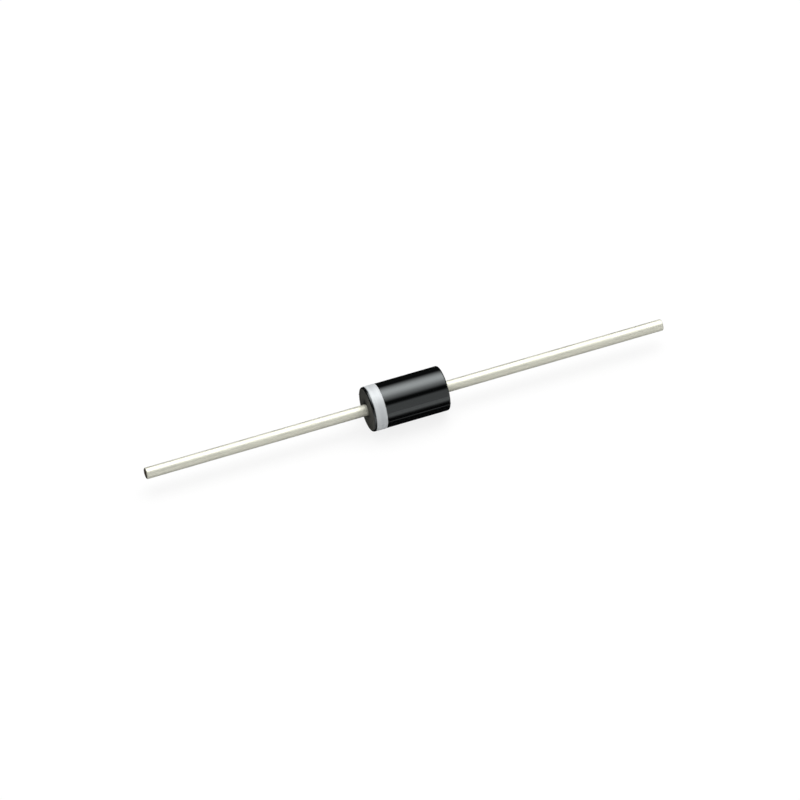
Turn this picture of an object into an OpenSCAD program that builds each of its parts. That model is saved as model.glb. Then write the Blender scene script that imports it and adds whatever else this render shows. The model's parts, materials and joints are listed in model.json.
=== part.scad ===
// Axial rectifier diode in a moulded epoxy body, after the large axial outline
// with a body of 5 mm by 9 mm and leads of 1.3 mm.  All sizes are in millimetres.
//
// Frame: the origin is the middle of the body on the leads' common axis.
// +X runs along the leads from the cathode end to the anode end, and +Z is up.
// The mould parts in the plane z = 0, and its gate is on the +Y side.
//
// From the middle outwards, each way: silicon die, solder disc, nail head of
// the lead, anchor collar, end face of the body, free lead.

/* [Body] */
// Diameter of the moulded body
body_d = 5.1; // [4.8:0.05:5.4]
// Length of the moulded body
body_l = 9.0; // [7.2:0.1:9.6]
// Radius of the rounded rim at each end of the body
rim_r = 0.2; // [0.1:0.02:0.26]

/* [Mould marks] */
// Width of the flash line that the mould's parting plane leaves
flash_w = 0.1; // [0.06:0.02:0.2]
// Height of the flash line above the surface
flash_h = 0.03; // [0.02:0.01:0.06]
// Length of the broken gate along the body
gate_l = 1.6; // [1:0.1:2.4]
// Width of the broken gate across the parting plane
gate_w = 0.5; // [0.3:0.05:0.8]
// Height of the broken gate above the surface
gate_h = 0.08; // [0.07:0.01:0.15]

/* [Cathode band] */
// Width of the printed band
band_w = 1.28; // [0.8:0.02:1.8]
// Bare strip between the cathode end face and the band
band_gap = 0.28; // [0.28:0.02:0.6]
// Thickness of the printed ink
ink_t = 0.02; // [0.01:0.005:0.04]

/* [Leads] */
// Diameter of the lead wire
lead_d = 1.3; // [1.2:0.01:1.35]
// Free length of each lead outside the body
lead_l = 26; // [20:0.5:30]
// Bevel that the cutter leaves round the tip of each lead
tip_bevel = 0.08; // [0.04:0.01:0.15]

/* [Nail heads and anchors] */
// Diameter of the upset head that carries the die
head_d = 3.3; // [3.2:0.05:3.6]
// Thickness of the head
head_t = 0.6; // [0.5:0.02:0.8]
// Radius of the fillet from the back of the head to the wire
neck_r = 0.5; // [0.3:0.05:0.6]
// Height of the rolled anchor collar above the wire
collar_h = 0.3; // [0.2:0.02:0.4]
// Width of the collar at its root
collar_w = 1.5; // [1.2:0.05:1.7]
// Length of the slope on each side of the collar
collar_slope = 0.4; // [0.2:0.05:0.5]
// Depth of the collar's outer edge below the end face of the body
collar_depth = 0.1; // [0.05:0.01:0.12]

/* [Junction] */
// Side of the square silicon die
die_w = 2.2; // [1.8:0.05:2.3]
// Thickness of the die with its mesa
die_t = 0.26; // [0.22:0.01:0.32]
// Height of the etched mesa on the anode side
mesa_t = 0.08; // [0.04:0.01:0.12]
// Step of the mesa in from the die's edge
mesa_step = 0.1; // [0.05:0.01:0.15]
// Chamfer across the die's corners
die_chamfer = 0.25; // [0.1:0.05:0.4]
// Thickness of each solder disc
solder_t = 0.05; // [0.03:0.01:0.1]
// Bare edge that the solder leaves on the mesa
solder_edge = 0.02; // [0.01:0.01:0.08]
// Flare of the solder from the die to the wider head
solder_flare = 0.1; // [0.05:0.01:0.15]

/* [Junction coating] */
// Height of the silicone bead above the rim of the heads
bead_h = 0.3; // [0.2:0.05:0.4]
// Lap of the bead over the rim of each head
bead_lap = 0.3; // [0.2:0.02:0.36]

/* [Hidden] */
$fn = 96;

CATHODE = -1;                                // side of the origin along X
ANODE = 1;

head_face = die_t / 2 + solder_t;            // inner face of each head
head_back = head_face + head_t;
body_end = body_l / 2;
lead_tip = body_end + lead_l;
collar_out = body_end - collar_depth;        // outer edge of the collar's root
collar_in = collar_out - collar_w;

bead_r = head_face + bead_lap;               // radius of the silicone bead's section
bead_mid = head_d / 2 + bead_h - bead_r;     // distance of its middle from the axis

solder_r = die_w / 2 - mesa_step - solder_edge;
band_start = -body_end + band_gap;

// Turns a piece that was built along +Z to lie along one lead.
module along(side) {
    rotate([0, side * 90, 0]) children();
}

// ---- Moulding -----------------------------------------------------------

// Half section of the moulding with its two rims rounded.
module body_section(grow) {
    r = body_d / 2 + grow;
    half = body_end + grow;
    rim = rim_r + grow;
    translate([0, -half]) square([r - rim, 2 * half]);
    translate([0, rim - half]) square([r, 2 * (half - rim)]);
    for (end = [-1, 1]) translate([r - rim, end * (half - rim)]) circle(rim);
}

module turned_body(grow) {
    along(ANODE) rotate_extrude() body_section(grow);
}

// Thin ridge where the mould halves met, along both sides and over both ends.
module flash_line(grow) {
    reach = 2 * (body_end + body_d);
    intersection() {
        turned_body(grow + flash_h);
        cube([reach, reach, flash_w + 2 * grow], center = true);
    }
}

// Stub of the gate, broken off beside the parting plane.
module gate_stub() {
    translate([-gate_l / 2, 0, -gate_w / 2])
        cube([gate_l, body_d / 2 + gate_h, gate_w]);
}

// Outside of the moulding, grown outwards by the thickness of what is on it.
module body_skin(grow = 0) {
    turned_body(grow);
    flash_line(grow);
}

module moulded_body() {
    color([0.06, 0.065, 0.07]) difference() {
        union() {
            body_skin();
            gate_stub();
        }
        lead_shape(CATHODE);
        lead_shape(ANODE);
        bead();
    }
}

module cathode_band() {
    around = 2 * body_d;
    color([0.8, 0.81, 0.82]) difference() {
        intersection() {
            body_skin(ink_t);
            translate([band_start, -around / 2, -around / 2])
                cube([band_w, around, around]);
        }
        body_skin();
    }
}

// ---- Leads --------------------------------------------------------------

// Head with the barrelled rim that upsetting leaves.
module head_section() {
    rim = head_t / 2;
    translate([0, head_face]) square([head_d / 2 - rim, head_t]);
    translate([head_d / 2 - rim, head_face + rim]) circle(rim);
}

// Fillet from the back of the head down to the wire.
module neck_section() {
    wide = lead_d / 2 + neck_r;
    translate([0, head_back]) difference() {
        square([wide, neck_r]);
        translate([wide, neck_r]) circle(neck_r);
    }
}

// Collar rolled up from the wire, with a slope on each side.
module collar_section() {
    root = lead_d / 2;
    top = root + collar_h;
    polygon([[0, collar_in], [root, collar_in], [top, collar_in + collar_slope],
             [top, collar_out - collar_slope], [root, collar_out], [0, collar_out]]);
}

// Wire from the head to the bevelled tip.
module wire_section() {
    r = lead_d / 2;
    polygon([[0, head_face], [r, head_face], [r, lead_tip - tip_bevel],
             [r - tip_bevel, lead_tip], [0, lead_tip]]);
}

module lead_shape(side) {
    along(side) rotate_extrude() {
        head_section();
        neck_section();
        collar_section();
        wire_section();
    }
}

module cathode_lead() {
    color([0.88, 0.87, 0.82]) lead_shape(CATHODE);
}

module anode_lead() {
    color([0.88, 0.87, 0.82]) lead_shape(ANODE);
}

// ---- Junction -----------------------------------------------------------

// Square plate of the die with chamfered corners, from x = from to x = to.
module die_plate(w, from, to) {
    h = w / 2;
    c = h - die_chamfer;
    along(ANODE) translate([0, 0, from]) linear_extrude(to - from)
        polygon([[-c, -h], [c, -h], [h, -c], [h, c],
                 [c, h], [-c, h], [-h, c], [-h, -c]]);
}

// Die with its etched mesa towards the anode.
module die_shape() {
    die_plate(die_w, -die_t / 2, die_t / 2 - mesa_t);
    die_plate(die_w - 2 * mesa_step, -die_t / 2, die_t / 2);
}

module silicon_die() {
    color([0.32, 0.34, 0.38]) die_shape();
}

// Disc of solder that flares from the die to the head on its side.
module solder_shape(side) {
    along(side) translate([0, 0, die_t / 2])
        cylinder(h = solder_t, r1 = solder_r, r2 = solder_r + solder_flare);
}

module cathode_solder() {
    color([0.7, 0.71, 0.72]) solder_shape(CATHODE);
}

module anode_solder() {
    color([0.7, 0.71, 0.72]) solder_shape(ANODE);
}

// Bead of silicone round the die, filled in as far as the axis.
module bead() {
    along(ANODE) rotate_extrude() {
        translate([bead_mid, 0]) circle(bead_r);
        translate([0, -head_face]) square([bead_mid, 2 * head_face]);
    }
}

module junction_coating() {
    color([0.93, 0.93, 0.9]) difference() {
        bead();
        lead_shape(CATHODE);
        lead_shape(ANODE);
        solder_shape(CATHODE);
        solder_shape(ANODE);
        die_shape();
    }
}

moulded_body();
cathode_band();
cathode_lead();
anode_lead();
silicon_die();
cathode_solder();
anode_solder();
junction_coating();
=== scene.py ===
"""Looks of the axial rectifier diode: black moulded body, silver cathode band and two tinned leads.

The four pieces that show are modelled here in millimetres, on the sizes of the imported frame, and are
then brought to metres. The die, its solder and its silicone stay as the frame gives them, with their own
finishes.
"""

import json
import math

import bpy
from mathutils import Matrix, Vector


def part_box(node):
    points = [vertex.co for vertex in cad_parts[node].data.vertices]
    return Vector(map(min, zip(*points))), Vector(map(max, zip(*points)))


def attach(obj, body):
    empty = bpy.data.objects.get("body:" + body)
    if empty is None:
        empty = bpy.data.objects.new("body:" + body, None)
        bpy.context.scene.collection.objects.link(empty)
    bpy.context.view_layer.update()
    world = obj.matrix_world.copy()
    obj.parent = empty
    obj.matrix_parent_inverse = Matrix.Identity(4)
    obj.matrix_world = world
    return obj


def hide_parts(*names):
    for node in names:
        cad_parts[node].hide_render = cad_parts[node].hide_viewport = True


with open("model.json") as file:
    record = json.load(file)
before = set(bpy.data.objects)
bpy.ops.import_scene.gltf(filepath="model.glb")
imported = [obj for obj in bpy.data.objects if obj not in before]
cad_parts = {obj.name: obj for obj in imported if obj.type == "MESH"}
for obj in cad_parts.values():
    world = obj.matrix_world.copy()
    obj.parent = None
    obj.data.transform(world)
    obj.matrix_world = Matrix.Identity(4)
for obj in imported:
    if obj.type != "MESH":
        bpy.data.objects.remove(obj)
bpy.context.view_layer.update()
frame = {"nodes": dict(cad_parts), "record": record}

# ---- Sizes, in millimetres ---------------------------------------------------------------------------

MM = 0.001                                   # one millimetre, in metres


def box_mm(node):
    """Lowest and highest corner of a node of the frame, in millimetres."""
    low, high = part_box(node)
    return low / MM, high / MM


body_low, body_high = box_mm("moulded_body")
band_low, band_high = box_mm("cathode_band")
lead_low, lead_high = box_mm("anode_lead")
bead_low, bead_high = box_mm("junction_coating")

FLASH_H = 0.03                               # height of the mould's flash line
FLASH_W = 0.07                               # its width at the foot
RIM_R = 0.2                                  # rounding of the body's rims
GATE_L = 1.6                                 # length of the broken gate
GATE_H = 0.035                               # its mean height
GATE_HALF_W = 0.23                           # half of its width at the foot
GATE_TAPER = (0.97, 1, 0.9)                  # how much it narrows towards its break
GATE_ROUGH = 0.008                           # unevenness of the break
INK_T = 0.02                                 # thickness of the printed ink
TIP_BEVEL = 0.08                             # bevel round each lead's cut tip
HEAD_T = 0.6                                 # thickness of the nail head in the moulding
NECK_R = 0.5                                 # fillet behind it
COLLAR_H = 0.3                               # height of the rolled anchor collar near the end face
COLLAR_W = 1.5                               # its length along the lead
COLLAR_SLOPE = 0.4                           # length of each of its slopes
COLLAR_DEPTH = 0.1                           # how deep it lies behind the end face
SKIN = 0.001                                 # what counts as lying on a plane or a skin
TIP_SKIN = 0.01                              # the same at a lead's cut tip
INK_FOOT = 0.001                             # height of the ink's edge over the moulding
INK_SHOULDER = 0.7                           # share of its height a third of the way up its edge
CUT_EDGE = 0.06                              # ring of a cut tip that the tin is dragged over
CUT_RING = 0.2                               # next ring towards its middle

BODY_R = -body_low.y - FLASH_H
BODY_END = body_high.x - FLASH_H
WIRE_R = frame["record"]["mounts"][0]["dims"]["r_mm"]
HEAD_R = lead_high.y
HEAD_FACE = lead_low.x
HEAD_BACK = HEAD_FACE + HEAD_T
LEAD_TIP = lead_high.x
COLLAR_OUT = BODY_END - COLLAR_DEPTH
BEAD_R = bead_high.x                         # radius of the silicone bead's section
BEAD_MID = bead_high.z - BEAD_R              # distance of its middle from the axis

BODY_STEPS = 144                             # facets round the body and the band
WIRE_STEPS = 96                              # facets round a lead
RIM_STEPS = 8                                # facets over a rim of the body or a neck of a lead
HEAD_STEPS = 16                              # facets over the rounded edge of a nail head
BEAD_STEPS = 14                              # facets over the silicone bead
LEAD_RUNS = 12                               # lengths that a lead is drawn out in
BAND_RUNS = 8                                # lengths across the band

# ---- Camera ------------------------------------------------------------------------------------------

AZIMUTH = math.radians(-20.9)
ELEVATION = math.radians(49.1)
LENS = 600.0                                 # long, so that near and far lead look equally thick
SENSOR = 36.0
VIEW_WIDTH = 88.3 * MM                       # width of the view at the body
AIM_RIGHT = -0.53 * MM                       # the aim lies beside the middle of the body
AIM_UP = -0.133 * MM
CLIP = 100                                   # nearest and farthest that shows, as a share of the distance


def add_camera():
    """Looks down at the body from the cathode end."""
    back = Vector((
        math.sin(AZIMUTH) * math.cos(ELEVATION),
        -math.cos(AZIMUTH) * math.cos(ELEVATION),
        math.sin(ELEVATION),
    ))
    turn = back.to_track_quat("Z", "Y")
    distance = VIEW_WIDTH * LENS / SENSOR
    data = bpy.data.cameras.new("camera")
    data.lens = LENS
    data.sensor_width = SENSOR
    data.clip_start = distance / CLIP
    data.clip_end = distance * CLIP
    camera = bpy.data.objects.new("camera", data)
    bpy.context.scene.collection.objects.link(camera)
    camera.location = turn @ Vector((AIM_RIGHT, AIM_UP, 0)) + back * distance
    camera.rotation_mode = "QUATERNION"
    camera.rotation_quaternion = turn
    bpy.context.scene.camera = camera


# ---- Modelling by hand -------------------------------------------------------------------------------


def only(piece):
    """Leaves one piece selected and active."""
    bpy.ops.object.select_all(action="DESELECT")
    piece.select_set(True)
    bpy.context.view_layer.objects.active = piece


def edit(piece):
    """Opens a piece in edit mode with all of it selected."""
    only(piece)
    bpy.ops.object.mode_set(mode="EDIT")
    bpy.ops.mesh.select_mode(type="VERT")
    bpy.ops.mesh.select_all(action="SELECT")


def apply_place(piece):
    """Puts a piece's place, turn and size into its mesh."""
    only(piece)
    bpy.ops.object.transform_apply(location=True, rotation=True, scale=True)


def select_in(piece, elements, mode, wanted):
    """Selects the faces or points of a piece in edit mode that are wanted."""
    bpy.ops.mesh.select_all(action="DESELECT")
    bpy.ops.mesh.select_mode(type=mode)
    bpy.ops.object.mode_set(mode="OBJECT")
    for element in getattr(piece.data, elements):
        element.select = wanted(element)
    bpy.ops.object.mode_set(mode="EDIT")


def select_faces(piece, wanted):
    """Selects faces by their middle and their normal."""
    select_in(piece, "polygons", "FACE", lambda face: wanted(face.center, face.normal))


def select_points(piece, wanted):
    """Selects points by their place."""
    select_in(piece, "vertices", "VERT", lambda point: wanted(point.co))


def arc(x, r, radius, start, end, steps):
    """Stations along an arc round (x, r), from one angle to another in degrees."""
    angles = [math.radians(start + (end - start) * k / steps) for k in range(steps + 1)]
    return [(x + radius * math.cos(a), r + radius * math.sin(a)) for a in angles]


def draw_out(stations):
    """Extrudes what is selected along the leads' axis, through (x, radius) stations."""
    for (x, r), (next_x, next_r) in zip(stations, stations[1:]):
        bpy.ops.mesh.extrude_region_move(TRANSFORM_OT_translate={"value": (next_x - x, 0, 0)})
        grow = next_r / r
        bpy.ops.transform.resize(value=(1, grow, grow), center_override=(next_x, 0, 0))


def turned_ring(name, stations, steps):
    """A ring round the leads' axis, drawn out from a circle round its closed half section."""
    x, r = stations[0]
    bpy.ops.object.select_all(action="DESELECT")
    bpy.ops.mesh.primitive_circle_add(
        vertices=steps, radius=r, fill_type="NOTHING", location=(x, 0, 0),
        rotation=(0, math.radians(90), 0))
    piece = bpy.context.object
    piece.name = name
    apply_place(piece)
    edit(piece)
    draw_out(stations + [stations[0]])
    bpy.ops.mesh.select_all(action="SELECT")
    bpy.ops.mesh.remove_doubles(threshold=0.0005)
    bpy.ops.mesh.normals_make_consistent(inside=False)
    bpy.ops.object.mode_set(mode="OBJECT")
    return piece


def turned_rod(name, stations, steps):
    """A rod along the leads' axis, drawn out from its first length."""
    (x0, r0), (x1, r1) = stations[:2]
    bpy.ops.object.select_all(action="DESELECT")
    bpy.ops.mesh.primitive_cylinder_add(
        vertices=steps, radius=r0, depth=x1 - x0, location=((x0 + x1) / 2, 0, 0),
        rotation=(0, math.radians(90), 0))
    piece = bpy.context.object
    piece.name = name
    apply_place(piece)
    edit(piece)
    select_faces(piece, lambda middle, normal: normal.x > 0.9)
    bpy.ops.transform.resize(value=(1, r1 / r0, r1 / r0), center_override=(x1, 0, 0))
    draw_out(stations[1:])
    bpy.ops.mesh.select_all(action="SELECT")
    bpy.ops.mesh.normals_make_consistent(inside=False)
    bpy.ops.object.mode_set(mode="OBJECT")
    return piece


def finish_piece(piece, node, sharp=35):
    """Brings a piece to metres, smooths it and lets it stand for its node."""
    piece.scale = (MM, MM, MM)
    apply_place(piece)
    bpy.ops.object.shade_smooth_by_angle(angle=math.radians(sharp))
    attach(piece, "root")
    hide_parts(node)


# ---- Moulded body and its printed band ---------------------------------------------------------------


def radius_of(place):
    """Distance of a place from the leads' axis."""
    return math.hypot(place.y, place.z)


def cut_flash(piece):
    """Cuts both feet of the parting plane's ridge into a piece, and leaves it in edit mode."""
    edit(piece)
    for foot in (-FLASH_W / 2, FLASH_W / 2):
        bpy.ops.mesh.select_all(action="SELECT")
        bpy.ops.mesh.bisect(plane_co=(0, 0, foot), plane_no=(0, 0, 1), threshold=0.0001)


def lead_stations():
    """Half section of a lead from its head in the moulding to its cut tip."""
    rim = HEAD_T / 2
    neck = WIRE_R + NECK_R
    collar_r = WIRE_R + COLLAR_H
    collar_in = COLLAR_OUT - COLLAR_W
    head = arc(HEAD_FACE + rim, HEAD_R - rim, rim, 180, 0, HEAD_STEPS)
    head[0] = (HEAD_FACE, HEAD_R - rim)
    foot = arc(HEAD_BACK + NECK_R, neck, NECK_R, 180, 270, RIM_STEPS)
    collar = [(collar_in, WIRE_R), (collar_in + COLLAR_SLOPE, collar_r),
              (COLLAR_OUT - COLLAR_SLOPE, collar_r), (COLLAR_OUT, WIRE_R)]
    return head, foot + collar


def cavity_stations():
    """Half section of what the moulding is cast round, from the anode end to the cathode end."""
    head, shank = lead_stations()
    clear = [(x, r) for x, r in head if math.hypot(x, r - BEAD_MID) > BEAD_R and x > 0]
    anode_side = [(BODY_END, WIRE_R)] + shank[::-1] + clear[::-1]
    x, r = clear[0]
    start = math.degrees(math.atan2(r - BEAD_MID, x))
    bead = arc(0, BEAD_MID, BEAD_R, start, 180 - start, BEAD_STEPS)[1:-1]
    return anode_side + bead + [(-x, r) for x, r in anode_side[::-1]]


def body_stations():
    """Closed half section of the moulding, from the edge of its cathode hole outwards."""
    flat = BODY_END - RIM_R
    rim = BODY_R - RIM_R
    spacing = GATE_L / 4
    count = math.floor(flat / spacing)
    side = [(k * spacing, BODY_R) for k in range(-count, count + 1)]
    outside = [(-BODY_END, WIRE_R)] + arc(-flat, rim, RIM_R, 180, 90, RIM_STEPS) + side
    outside += arc(flat, rim, RIM_R, 90, 0, RIM_STEPS)
    return outside + cavity_stations()[:-1]


def in_gate(middle):
    """Whether a face's middle lies within the gate's outline, seen from its side."""
    return abs(middle.x) < GATE_L / 2 and abs(middle.z) < GATE_HALF_W


def add_gate(piece):
    """Raises the broken stub of the gate over the parting plane, and roughens its break."""
    edit(piece)
    select_faces(piece, lambda middle, normal: middle.y > 0.9 * BODY_R and in_gate(middle))
    bpy.ops.mesh.extrude_region_move(TRANSFORM_OT_translate={"value": (0, GATE_H, 0)})
    bpy.ops.transform.resize(value=GATE_TAPER, center_override=(0, BODY_R, 0))
    bpy.ops.mesh.subdivide(number_cuts=2)
    bpy.ops.transform.vertex_random(offset=GATE_ROUGH, uniform=1, normal=0, seed=4)
    bpy.ops.object.mode_set(mode="OBJECT")


def add_body():
    """The epoxy moulding, cast round the heads, collars and silicone of the junction."""
    piece = turned_ring("epoxy_moulding", body_stations(), BODY_STEPS)

    def on_skin(place):
        inside = abs(place.x) < BODY_END - SKIN and radius_of(place) < BODY_R - RIM_R - SKIN
        return not inside and radius_of(place) > WIRE_R + 10 * SKIN

    def matt(middle, normal):
        end_face = abs(normal.x) > 0.9 and abs(middle.x) > BODY_END - 0.02
        gate_break = middle.y > BODY_R + GATE_H / 3 and in_gate(middle)
        return end_face and radius_of(middle) < BODY_R - 0.1 or gate_break

    cut_flash(piece)
    select_points(piece, lambda place: abs(place.z) < SKIN and on_skin(place))
    bpy.ops.transform.shrink_fatten(value=FLASH_H)
    bpy.ops.object.mode_set(mode="OBJECT")
    add_gate(piece)
    piece.data.materials.append(gloss_epoxy())
    piece.data.materials.append(matt_epoxy())
    edit(piece)
    select_faces(piece, matt)
    piece.active_material_index = 1
    bpy.ops.object.material_slot_assign()
    bpy.ops.object.mode_set(mode="OBJECT")
    finish_piece(piece, "moulded_body")
    return piece


def add_band():
    """The cathode band: a thin coat of silver ink that follows the moulding."""
    low, high = band_low.x, band_high.x
    soft = INK_T * 1.5
    foot, shoulder, top = BODY_R + INK_FOOT, BODY_R + INK_T * INK_SHOULDER, BODY_R + INK_T
    outline = [(low, foot), (low + soft / 3, shoulder), (low + soft, top)]
    outline += [(low + (high - low) * k / BAND_RUNS, top) for k in range(1, BAND_RUNS)]
    outline += [(high - soft, top), (high - soft / 3, shoulder), (high, foot)]
    piece = turned_ring("printed_band", outline, BODY_STEPS)
    cut_flash(piece)
    for side in (-1, 1):
        select_points(piece, lambda place: abs(place.z) < SKIN and place.y * side > 0)
        bpy.ops.transform.translate(value=(0, side * FLASH_H, 0))
    bpy.ops.object.mode_set(mode="OBJECT")
    piece.data.materials.append(silver_ink())
    finish_piece(piece, "cathode_band")
    return piece


# ---- Leads -------------------------------------------------------------------------------------------


def add_lead(name, node, side):
    """A tinned lead from its head in the moulding to its cut tip."""
    head, shank = lead_stations()
    tip = [(LEAD_TIP - TIP_BEVEL, WIRE_R), (LEAD_TIP, WIRE_R - TIP_BEVEL)]
    length = LEAD_TIP - COLLAR_OUT
    run = [(COLLAR_OUT + length * k / LEAD_RUNS, WIRE_R) for k in range(1, LEAD_RUNS)]

    def at_tip(middle, normal):
        return normal.x > 0.9 and middle.x > LEAD_TIP - TIP_SKIN

    piece = turned_rod(name, head + shank + run + tip, WIRE_STEPS)
    piece.data.materials.append(tinned_wire())
    piece.data.materials.append(cut_wire())
    edit(piece)
    select_faces(piece, at_tip)
    bpy.ops.mesh.inset(thickness=CUT_EDGE, depth=0)
    bpy.ops.mesh.inset(thickness=CUT_RING, depth=0)
    select_faces(piece, at_tip)
    piece.active_material_index = 1
    bpy.ops.object.material_slot_assign()
    bpy.ops.object.mode_set(mode="OBJECT")
    if side < 0:
        piece.rotation_euler = (0, 0, math.pi)
        apply_place(piece)
    finish_piece(piece, node)
    return piece


# ---- Materials ---------------------------------------------------------------------------------------


class Net:
    """Adds nodes to a tree and links them."""

    def __init__(self, tree):
        self.tree = tree

    def node(self, kind, inputs=(), **settings):
        made = self.tree.nodes.new(kind)
        for name, value in settings.items():
            setattr(made, name, value)
        for key, value in dict(inputs).items():
            if isinstance(value, bpy.types.NodeSocket):
                self.tree.links.new(value, made.inputs[key])
            else:
                made.inputs[key].default_value = value
        return made

    def maths(self, operation, a, b=0.0, clamp=False):
        return self.node("ShaderNodeMath", {0: a, 1: b}, operation=operation, use_clamp=clamp).outputs[0]

    def dot(self, a, vector):
        node = self.node("ShaderNodeVectorMath", {0: a, 1: vector}, operation="DOT_PRODUCT")
        return node.outputs["Value"]

    def ramp(self, value, low, high, to_low=0.0, to_high=1.0):
        """Smooth step of a value from one level to another."""
        node = self.node("ShaderNodeMapRange", {
            "Value": value, "From Min": low, "From Max": high, "To Min": to_low, "To Max": to_high,
        }, interpolation_type="SMOOTHSTEP")
        return node.outputs["Result"]

    def place(self, stretch=(1, 1, 1)):
        """Place on the piece in millimetres, stretched where a pattern runs along it or round it."""
        where = self.node("ShaderNodeTexCoord").outputs["Object"]
        scale = tuple(part / MM for part in stretch)
        return self.node("ShaderNodeMapping", {"Vector": where, "Scale": scale}).outputs[0]

    def noise(self, where, size, detail=3.0, roughness=0.55):
        """Cloudy noise with spots of a size in millimetres, around one half."""
        node = self.node("ShaderNodeTexNoise", {
            "Vector": where, "Scale": 1 / size, "Detail": detail, "Roughness": roughness})
        return node.outputs[0]

    def mix(self, share, first, second):
        """Colour between two colours."""
        node = self.node("ShaderNodeMix", {0: share, 6: first, 7: second}, data_type="RGBA")
        return node.outputs[2]

    def from_axis(self):
        """Distance from the leads' axis, in millimetres."""
        across = self.place((0, 1, 1))
        return self.node("ShaderNodeVectorMath", {0: across}, operation="LENGTH").outputs["Value"]

    def along_axis(self):
        """Place along the leads' axis, in millimetres from the middle of the body."""
        return self.node("ShaderNodeSeparateXYZ", {0: self.place()}).outputs[0]

    def shared(self, group, **inputs):
        """A shared effect with this material's own values."""
        made = self.node("ShaderNodeGroup", node_tree=group)
        for name, value in inputs.items():
            socket = made.inputs[name.replace("_", " ").capitalize()]
            if isinstance(value, bpy.types.NodeSocket):
                self.tree.links.new(value, socket)
            else:
                socket.default_value = value
        return made.outputs

    def bump(self, height, distance):
        """Normal of a relief whose full height is given in millimetres."""
        node = self.node("ShaderNodeBump", {"Height": height, "Distance": distance * MM, "Strength": 1.0})
        return node.outputs[0]


def new_material(name, **settings):
    """A material with its shader's plain values set, its net and its shader."""
    material = bpy.data.materials.new(name)
    material.use_nodes = True
    net = Net(material.node_tree)
    shader = material.node_tree.nodes["Principled BSDF"]
    for label, value in settings.items():
        shader.inputs[label.replace("_", " ")].default_value = value
    return material, net, shader


def feed(net, shader, **sockets):
    """Links what changes over the surface to the shader."""
    for label, socket in sockets.items():
        net.tree.links.new(socket, shader.inputs[label.replace("_", " ")])


def new_group(name, inputs, outputs):
    """A shared effect with named inputs and outputs."""
    group = bpy.data.node_groups.new(name, "ShaderNodeTree")
    for label, kind, value in inputs:
        socket = group.interface.new_socket(name=label, in_out="INPUT", socket_type=kind)
        if value is not None:
            socket.default_value = value
    for label in outputs:
        group.interface.new_socket(name=label, in_out="OUTPUT", socket_type="NodeSocketFloat")
    net = Net(group)
    return group, net, net.node("NodeGroupInput").outputs


def make_grain_group():
    """Fine grain: a relief and an uneven shade, both from 0 to 1."""
    group, net, given = new_group("fine_grain", [
        ("Place", "NodeSocketVector", None), ("Size", "NodeSocketFloat", 0.05)], ["Relief", "Shade"])
    scale = net.maths("DIVIDE", 1.0, given["Size"])
    fine = net.node("ShaderNodeTexNoise", {"Vector": given["Place"], "Scale": scale, "Detail": 2.0,
                                           "Roughness": 0.6}).outputs[0]
    wide = net.node("ShaderNodeTexNoise", {
        "Vector": given["Place"], "Scale": net.maths("MULTIPLY", scale, 0.22), "Detail": 3.0}).outputs[0]
    relief = net.maths("ADD", net.maths("MULTIPLY", fine, 0.75), net.maths("MULTIPLY", wide, 0.25))
    shade = net.ramp(wide, 0.3, 0.7)
    net.node("NodeGroupOutput", {"Relief": relief, "Shade": shade})
    return group


def make_scuff_group():
    """Light scuffs from handling: a mask of thin patches."""
    group, net, given = new_group("handling_scuffs", [
        ("Place", "NodeSocketVector", None), ("Size", "NodeSocketFloat", 1.0),
        ("Amount", "NodeSocketFloat", 0.3)], ["Mask"])
    scale = net.maths("DIVIDE", 1.0, given["Size"])
    patch = net.node("ShaderNodeTexNoise", {"Vector": given["Place"], "Scale": scale, "Detail": 5.0,
                                            "Roughness": 0.7}).outputs[0]
    streak = net.node("ShaderNodeTexNoise", {
        "Vector": given["Place"], "Scale": net.maths("MULTIPLY", scale, 7.0), "Detail": 2.0,
        "Distortion": 1.5}).outputs[0]
    level = net.maths("SUBTRACT", 0.78, net.maths("MULTIPLY", given["Amount"], 0.35))
    high = net.maths("ADD", level, 0.12)
    mask = net.maths("MULTIPLY", net.ramp(patch, level, high), net.ramp(streak, 0.35, 0.65))
    net.node("NodeGroupOutput", {"Mask": mask})
    return group


def make_streak_group():
    """Streaks along one direction: a relief and a shade, from a place that is stretched that way."""
    group, net, given = new_group("drawn_streaks", [
        ("Place", "NodeSocketVector", None), ("Size", "NodeSocketFloat", 0.1)], ["Relief", "Shade"])
    scale = net.maths("DIVIDE", 1.0, given["Size"])
    lines = net.node("ShaderNodeTexNoise", {"Vector": given["Place"], "Scale": scale, "Detail": 4.0,
                                            "Roughness": 0.7}).outputs[0]
    shade = net.ramp(lines, 0.32, 0.68)
    net.node("NodeGroupOutput", {"Relief": lines, "Shade": shade})
    return group


fine_grain = make_grain_group()
handling_scuffs = make_scuff_group()
drawn_streaks = make_streak_group()


def gloss_epoxy():
    """Black epoxy off a polished mould: glossy, faintly wavy, with a few light scuffs."""
    material, net, shader = new_material("gloss_epoxy", IOR=1.68, Specular_Tint=(0.93, 0.99, 1.0, 1))
    place = net.place()
    grain = net.shared(fine_grain, place=place, size=0.05)
    scuffs = net.shared(handling_scuffs, place=place, size=1.4, amount=0.3)
    colour = net.mix(scuffs["Mask"], (0.0014, 0.0017, 0.0017, 1), (0.006, 0.0064, 0.0064, 1))
    rough = net.ramp(grain["Shade"], 0, 1, 0.07, 0.1)
    rough = net.maths("ADD", rough, net.maths("MULTIPLY", scuffs["Mask"], 0.1))
    flow = net.noise(place, 1.6, detail=1.0)
    relief = net.maths("ADD", net.maths("MULTIPLY", flow, 0.9), net.maths("MULTIPLY", grain["Relief"], 0.1))
    feed(net, shader, Base_Color=colour, Roughness=rough, Normal=net.bump(relief, 0.002))
    return material


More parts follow.
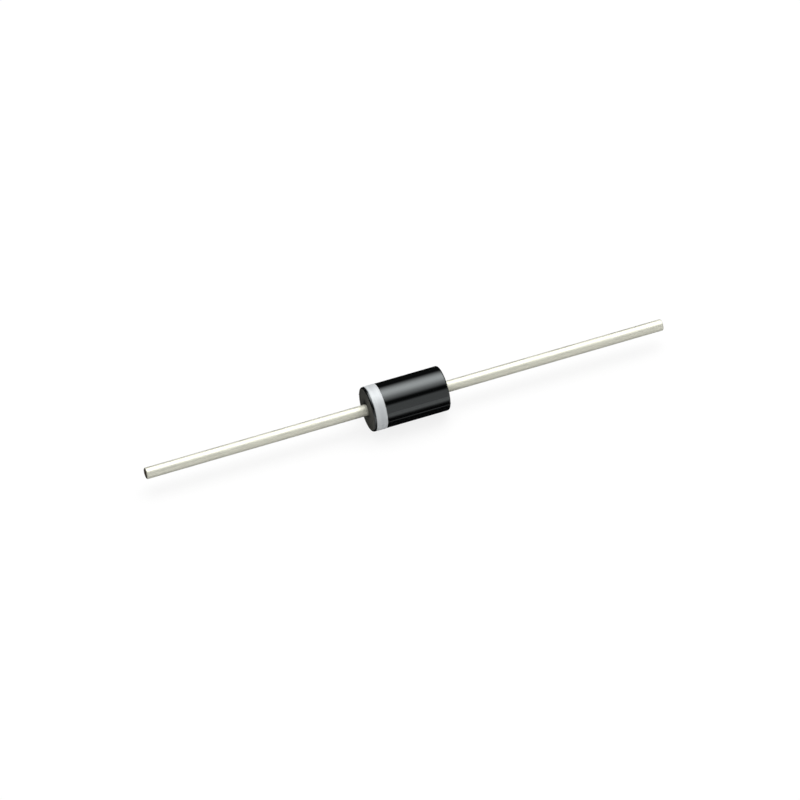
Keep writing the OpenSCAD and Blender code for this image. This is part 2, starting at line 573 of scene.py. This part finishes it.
def matt_epoxy():
    """The same epoxy off the mould's eroded end plates: matt, grainy, with painted shade darkening it round
    the lead.
    """
    material, net, shader = new_material("matt_epoxy", IOR=1.55)
    place = net.place()
    grain = net.shared(fine_grain, place=place, size=0.07)
    scuffs = net.shared(handling_scuffs, place=place, size=0.9, amount=0.45)
    colour = net.mix(grain["Shade"], (0.056, 0.056, 0.046, 1), (0.076, 0.075, 0.062, 1))
    colour = net.mix(net.maths("MULTIPLY", scuffs["Mask"], 0.5), colour, (0.12, 0.12, 0.1, 1))
    from_axis = net.maths("ADD", net.from_axis(), net.maths("MULTIPLY", grain["Shade"], 0.12))
    # painted shade: the end face turns near black round the lead's root
    root = net.ramp(from_axis, 1.35, 0.8)
    colour = net.mix(net.maths("MULTIPLY", root, 0.85), colour, (0.01, 0.01, 0.009, 1))
    rough = net.ramp(grain["Shade"], 0, 1, 0.62, 0.76)
    rough = net.maths("SUBTRACT", rough, net.maths("MULTIPLY", root, 0.2))
    feed(net, shader, Base_Color=colour, Roughness=rough, Normal=net.bump(grain["Relief"], 0.008))
    return material


def silver_ink():
    """Silver printing ink: fine flake, faint streaks round the body, thinner at both edges."""
    material, net, shader = new_material("silver_ink", Metallic=0.2)
    streaks = net.shared(drawn_streaks, place=net.place((1, 0.06, 0.06)), size=0.22)
    place = net.place()
    grain = net.shared(fine_grain, place=place, size=0.04)
    colour = net.mix(streaks["Shade"], (0.60, 0.625, 0.64, 1), (0.69, 0.715, 0.725, 1))
    flake = net.node("ShaderNodeTexVoronoi", {"Vector": place, "Scale": 1 / 0.05}).outputs["Color"]
    flake = net.node("ShaderNodeSeparateColor", {0: flake}).outputs[0]
    colour = net.mix(net.ramp(flake, 0.8, 1.0, 0, 0.35), colour, (0.76, 0.78, 0.79, 1))
    middle = (band_low.x + band_high.x) / 2
    inset = net.maths("SUBTRACT", (band_high.x - band_low.x) / 2,
                      net.maths("ABSOLUTE", net.maths("SUBTRACT", net.along_axis(), middle)))
    thin = net.ramp(net.maths("ADD", inset, net.maths("MULTIPLY", grain["Shade"], 0.05)), 0.1, 0.0)
    colour = net.mix(net.maths("MULTIPLY", thin, 0.6), colour, (0.12, 0.125, 0.13, 1))
    rough = net.ramp(flake, 0, 1, 0.48, 0.62)
    relief = net.maths("ADD", net.maths("MULTIPLY", streaks["Relief"], 0.6),
                       net.maths("MULTIPLY", grain["Relief"], 0.4))
    feed(net, shader, Base_Color=colour, Roughness=rough, Normal=net.bump(relief, 0.006))
    return material


def tinned_wire():
    """Tinned wire: warm silver, satin, with drawing lines along it, hazy patches and painted shade where it
    leaves the body.
    """
    material, net, shader = new_material("tinned_wire", Metallic=1.0)
    lines = net.shared(drawn_streaks, place=net.place((0.05, 1, 1)), size=0.14)
    place = net.place()
    grain = net.shared(fine_grain, place=place, size=0.06)
    scuffs = net.shared(handling_scuffs, place=net.place((0.35, 1, 1)), size=0.8, amount=0.5)
    haze = net.ramp(net.noise(place, 1.8, detail=4.0), 0.35, 0.65)
    colour = net.mix(haze, (0.83, 0.825, 0.725, 1), (0.87, 0.865, 0.77, 1))
    colour = net.mix(net.maths("MULTIPLY", lines["Shade"], 0.4), colour, (0.77, 0.765, 0.66, 1))
    colour = net.mix(net.maths("MULTIPLY", scuffs["Mask"], 0.5), colour, (0.66, 0.65, 0.56, 1))
    # painted shade: the lead turns darker over its last 0.4 mm before the body
    out = net.maths("ABSOLUTE", net.along_axis())
    out = net.maths("ADD", out, net.maths("MULTIPLY", grain["Shade"], 0.15))
    root = net.ramp(out, BODY_END + 0.4, BODY_END)
    colour = net.mix(net.maths("MULTIPLY", root, 0.6), colour, (0.3, 0.3, 0.25, 1))
    rough = net.ramp(haze, 0, 1, 0.58, 0.68)
    rough = net.maths("SUBTRACT", rough, net.maths("MULTIPLY", scuffs["Mask"], 0.12))
    relief = net.maths("ADD", net.maths("MULTIPLY", lines["Relief"], 0.7),
                       net.maths("MULTIPLY", grain["Relief"], 0.3))
    feed(net, shader, Base_Color=colour, Roughness=rough, Normal=net.bump(relief, 0.004))
    return material


def cut_wire():
    """Cut end of a lead: dull brown core with shear lines, tin dragged over its edge."""
    material, net, shader = new_material("cut_wire", Metallic=1.0)
    lines = net.shared(drawn_streaks, place=net.place((1, 1, 0.12)), size=0.09)
    grain = net.shared(fine_grain, place=net.place(), size=0.05)
    core = net.mix(lines["Shade"], (0.2, 0.155, 0.11, 1), (0.34, 0.27, 0.2, 1))
    drag = net.maths("ADD", net.from_axis(), net.maths("MULTIPLY", lines["Shade"], 0.12))
    colour = net.mix(net.ramp(drag, 0.5, 0.66), core, (0.5, 0.49, 0.43, 1))
    rough = net.ramp(grain["Shade"], 0, 1, 0.5, 0.7)
    relief = net.maths("ADD", net.maths("MULTIPLY", lines["Relief"], 0.7),
                       net.maths("MULTIPLY", grain["Relief"], 0.3))
    feed(net, shader, Base_Color=colour, Roughness=rough, Normal=net.bump(relief, 0.01))
    return material


def silicon():
    """Etched silicon of the die: dark grey, smooth, faintly clouded."""
    material, net, shader = new_material("etched_silicon", Metallic=0.6)
    grain = net.shared(fine_grain, place=net.place(), size=0.03)
    colour = net.mix(grain["Shade"], (0.075, 0.08, 0.09, 1), (0.11, 0.115, 0.13, 1))
    rough = net.ramp(grain["Shade"], 0, 1, 0.16, 0.28)
    feed(net, shader, Base_Color=colour, Roughness=rough, Normal=net.bump(grain["Relief"], 0.0005))
    return material


def solder():
    """Soft solder between die and head: dull, with a crystalline skin."""
    material, net, shader = new_material("soft_solder", Metallic=1.0)
    place = net.place()
    crystals = net.node("ShaderNodeTexVoronoi", {"Vector": place, "Scale": 1 / 0.12}).outputs["Distance"]
    grain = net.shared(fine_grain, place=place, size=0.04)
    colour = net.mix(crystals, (0.5, 0.5, 0.51, 1), (0.64, 0.65, 0.66, 1))
    rough = net.ramp(grain["Shade"], 0, 1, 0.35, 0.5)
    feed(net, shader, Base_Color=colour, Roughness=rough, Normal=net.bump(crystals, 0.004))
    return material


def silicone():
    """Silicone over the junction: milky, soft, faintly uneven."""
    material, net, shader = new_material("milky_silicone", Subsurface_Weight=0.2)
    shader.inputs["Subsurface Radius"].default_value = (0.0006, 0.0005, 0.0004)
    grain = net.shared(fine_grain, place=net.place(), size=0.15)
    colour = net.mix(grain["Shade"], (0.74, 0.74, 0.7, 1), (0.82, 0.82, 0.79, 1))
    rough = net.ramp(grain["Shade"], 0, 1, 0.35, 0.5)
    feed(net, shader, Base_Color=colour, Roughness=rough, Normal=net.bump(grain["Relief"], 0.01))
    return material


def dress_junction():
    """Gives the frame's own inner pieces their finishes."""
    soft_solder = solder()
    for node, finish in (("silicon_die", silicon()), ("cathode_solder", soft_solder),
                         ("anode_solder", soft_solder), ("junction_coating", silicone())):
        for place in frame["nodes"][node].material_slots:
            place.material = finish


# ---- Floor and light ---------------------------------------------------------------------------------

FLOOR_GREY = 0.9                             # colour of the pale floor
SHADOW_SHARE = 0.17                          # how much of the floor's own shading the camera sees
FLOOR_WHITE = 1.02                           # strength at which it shows white
FLOOR_SIZE = 6                               # its side, in metres
PAINTED_SHADE_GLOW = 0.01                             # strength of the painted shade that the gloss mirrors off the floor
PAINTED_SHADE_X = 5.2 * MM                            # half the width of the painted shade before the body
PAINTED_SHADE_FADE = 1.2                              # how far it fades out to either side
PAINTED_SHADE_SLANT = 0.24                            # how much it slants with the camera
PAINTED_SHADE_FRONT_FAR = 15 * MM                     # where the painted shade before the body begins, before the body's middle
PAINTED_SHADE_FRONT_NEAR = 6.5 * MM                   # where it is black
STRIP_FAR = 10 * MM                          # the same for the half dark strip of painted shade before the leads
STRIP_NEAR = 3 * MM
STRIP_DEPTH = 0.55                           # how dark the strip is
BACK_NEAR = -0.5 * MM                        # where the painted shade behind the body begins
BACK_FAR = 1 * MM                            # where it is black


def pale_floor():
    """Pale floor that shows white and keeps a soft shadow; what is glossy mirrors painted shade on it, dark
    patches that only glossy rays see.
    """
    material = bpy.data.materials.new("pale_floor")
    material.use_nodes = True
    tree = material.node_tree
    tree.nodes.clear()
    net = Net(tree)
    place = net.node("ShaderNodeTexCoord").outputs["Object"]
    split = net.node("ShaderNodeSeparateXYZ", {0: place})
    x, y = split.outputs[0], split.outputs[1]
    # painted shade for glossy rays: dark patches on the floor before and behind the body, and a half dark
    # strip before the leads
    beside = net.maths("ABSOLUTE", net.maths("ADD", x, net.maths("MULTIPLY", y, PAINTED_SHADE_SLANT)))
    near_x = net.ramp(beside, PAINTED_SHADE_X * PAINTED_SHADE_FADE, PAINTED_SHADE_X)
    front = net.ramp(y, -PAINTED_SHADE_FRONT_FAR, -PAINTED_SHADE_FRONT_NEAR)
    painted_shade = net.maths("MULTIPLY", near_x, front)
    strip = net.maths("MULTIPLY", net.ramp(y, -STRIP_FAR, -STRIP_NEAR), STRIP_DEPTH)
    painted_shade = net.maths("MAXIMUM", painted_shade, strip)
    back = net.ramp(y, BACK_NEAR, BACK_FAR)
    painted_shade = net.maths("MAXIMUM", painted_shade, back)
    path = net.node("ShaderNodeLightPath")
    dark = net.maths("MULTIPLY", painted_shade, path.outputs["Is Glossy Ray"])
    paint = net.node("ShaderNodeBsdfDiffuse", {"Color": (FLOOR_GREY,) * 3 + (1,)})
    black = net.node("ShaderNodeEmission", {"Color": (1, 1, 1, 1), "Strength": PAINTED_SHADE_GLOW})
    white = net.node("ShaderNodeEmission", {"Color": (1, 1, 1, 1), "Strength": FLOOR_WHITE})
    seen = net.maths("MULTIPLY", path.outputs["Is Camera Ray"], 1 - SHADOW_SHARE)
    lit = net.node("ShaderNodeMixShader", {0: seen, 1: paint.outputs[0], 2: white.outputs[0]})
    both = net.node("ShaderNodeMixShader", {0: dark, 1: lit.outputs[0], 2: black.outputs[0]})
    net.node("ShaderNodeOutputMaterial", {"Surface": both.outputs[0]})
    return material


def add_floor():
    """A pale floor that the body lies on."""
    bpy.ops.object.select_all(action="DESELECT")
    bpy.ops.mesh.primitive_plane_add(size=FLOOR_SIZE, location=(0, 0, -BODY_R * MM))
    floor = bpy.context.object
    floor.name = "floor"
    floor.data.materials.append(pale_floor())


AMBIENT = 0.02                               # what is left between the lights
LIGHT_SIDE = 0.2336                          # how far all lights lean towards the anode end, as a sine
KEY_LIGHT = dict(height=109, along=(66, 0), across=(46, 0), strength=5.8)
EDGE_LIGHT = dict(height=72, along=(66, 0), across=(14, 0), strength=0.55)
FILL_LIGHT = dict(height=10, along=(75, 30), across=(37, 24), strength=0.85)


def soft_light(net, direction, height, along, across, strength):
    """A soft-edged panel of light, at a height round the leads' axis from the front horizon.

    Along and across are the angles from its middle at which it has died away and at which it is full."""
    tilt = math.asin(LIGHT_SIDE)
    up = math.radians(height)
    ahead = Vector((math.sin(tilt), -math.cos(tilt) * math.cos(up), math.cos(tilt) * math.sin(up)))
    side = (Vector((1, 0, 0)) - ahead * ahead.x).normalized()
    depth = net.maths("MAXIMUM", net.dot(direction, ahead), 0.001)
    fades = []
    for axis, (outer, inner) in ((side, along), (ahead.cross(side), across)):
        slope = net.maths("ABSOLUTE", net.maths("DIVIDE", net.dot(direction, axis), depth))
        angle = net.maths("ARCTANGENT", slope)
        fades.append(net.ramp(angle, math.radians(outer), math.radians(inner)))
    return net.maths("MULTIPLY", net.maths("MULTIPLY", *fades), strength)


def add_world():
    """Soft studio light: a wide softbox overhead, a weak strip within it and a low fill in front."""
    world = bpy.data.worlds.new("studio")
    bpy.context.scene.world = world
    world.use_nodes = True
    tree = world.node_tree
    tree.nodes.clear()
    net = Net(tree)
    direction = net.node("ShaderNodeTexCoord").outputs["Generated"]
    sky = AMBIENT
    for light in (KEY_LIGHT, EDGE_LIGHT, FILL_LIGHT):
        sky = net.maths("ADD", soft_light(net, direction, **light), sky)
    path = net.node("ShaderNodeLightPath")
    studio = net.node("ShaderNodeBackground", {"Strength": sky})
    white = net.node("ShaderNodeBackground", {"Color": (1, 1, 1, 1), "Strength": 1.0})
    mix = net.node("ShaderNodeMixShader", {
        0: path.outputs["Is Camera Ray"], 1: studio.outputs[0], 2: white.outputs[0]})
    net.node("ShaderNodeOutputWorld", {"Surface": mix.outputs[0]})


# ---- Scene -------------------------------------------------------------------------------------------

add_camera()
add_body()
add_band()
add_lead("cathode_wire", "cathode_lead", -1)
add_lead("anode_wire", "anode_lead", 1)
dress_junction()
add_floor()
add_world()

bpy.context.scene.view_settings.view_transform = "Standard"
